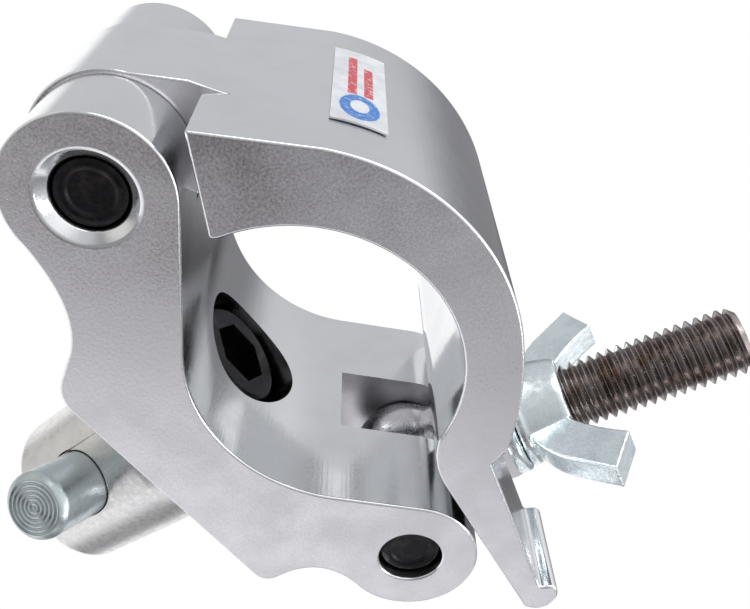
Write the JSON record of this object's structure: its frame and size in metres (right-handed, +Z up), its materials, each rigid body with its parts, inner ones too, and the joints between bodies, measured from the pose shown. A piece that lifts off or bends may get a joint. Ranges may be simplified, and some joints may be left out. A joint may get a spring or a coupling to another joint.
{
  "type": "pipe clamp",
  "caption": "Aluminium half coupler that clamps round tube, with hinged arm, swing eyebolt, wing nut and half-conical connector with cross pin.",
  "frame": {"origin": "centre of the tube bore, halfway across the clamp's width", "axes": "+Y along the tube, +X towards the eyebolt, +Z up, with the flat base and connector towards -Z"},
  "size_m": [0.1118, 0.0522, 0.1162],
  "materials": {
    "body_aluminium": "polished",
    "arm_aluminium": "polished",
    "connector_aluminium": "turned, satin",
    "black_pin": "black oxide",
    "dark_steel": "plain dark steel",
    "zinc_steel": "blue-white zinc plate",
    "pin_steel": "turned, dull zinc",
    "black_bolt": "black oxide",
    "label_print": "printed film"
  },
  "bodies": {
    "base": {"lower_body": "body_aluminium", "half_conical_connector": "connector_aluminium", "mounting_bolt": "black_bolt", "lock_washer": "black_bolt", "pivot_pin": "black_pin", "hinge_pin": "black_pin"},
    "arm": {"clamp_arm": "arm_aluminium", "rating_label": "label_print"},
    "eyebolt": {"eyebolt": "dark_steel"},
    "washer": {"flat_washer": "zinc_steel"},
    "nut": {"wing_nut": "zinc_steel"},
    "pin": {"connector_pin": "pin_steel"}
  },
  "joints": [
    {"name": "arm_hinge", "type": "hinge", "parent": "base", "child": "arm", "pos_m": [-0.0411, 0, -0.0134], "axis": [0, -1, 0], "range_deg": [0, 15]},
    {"name": "eyebolt_swing", "type": "hinge", "parent": "base", "child": "eyebolt", "pos_m": [0.0354, 0, -0.0161], "axis": [0, 1, 0], "range_deg": [0, 20.5]},
    {"name": "nut_travel", "type": "slide", "parent": "eyebolt", "child": "washer", "axis": [0.184, 0, 0.9829], "range_m": [0, 0.0302]},
    {"name": "wing_nut_spin", "type": "hinge", "parent": "washer", "child": "nut", "pos_m": [0.0354, 0, -0.0161], "axis": [0.184, 0, 0.9829], "range_deg": [0, 6191.4]},
    {"name": "pin_pull", "type": "slide", "parent": "base", "child": "pin", "axis": [-0.5, -0.866, 0], "range_m": [0, 0.045]}
  ],
  "couplings": [
    {"joint": "eyebolt_swing", "follows": "arm_hinge", "ratio": 1.3333},
    {"joint": "nut_travel", "follows": "arm_hinge", "m_per_rad": 0.11459},
    {"joint": "wing_nut_spin", "follows": "arm_hinge", "ratio": 411.43}
  ]
}
